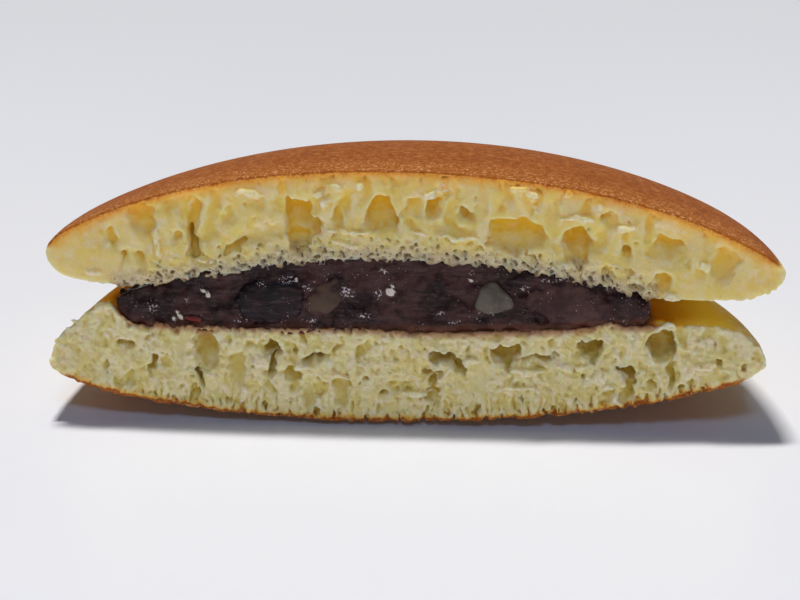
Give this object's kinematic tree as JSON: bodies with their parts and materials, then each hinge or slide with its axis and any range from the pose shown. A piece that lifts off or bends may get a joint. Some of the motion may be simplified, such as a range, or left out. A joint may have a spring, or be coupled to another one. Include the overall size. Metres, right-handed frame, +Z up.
{
  "type": "dorayaki half",
  "caption": "Half of a dorayaki cut through the middle: two soft griddled pancakes, browned outside and pale and airy inside, round a lens of coarse sweet red bean paste.",
  "frame": {"origin": "middle of the bottom of the bounding box, on the ground the half rests on", "axes": "+X along the cut, +Y from the cut face into the food, +Z up through the layers"},
  "size_m": [0.0904, 0.0464, 0.0332],
  "materials": {
    "upper_pancake": null,
    "bean_paste": null,
    "lower_pancake": null
  },
  "bodies": {
    "root": {"upper_pancake": "upper_pancake", "bean_paste": "bean_paste", "lower_pancake": "lower_pancake"}
  },
  "joints": []
}
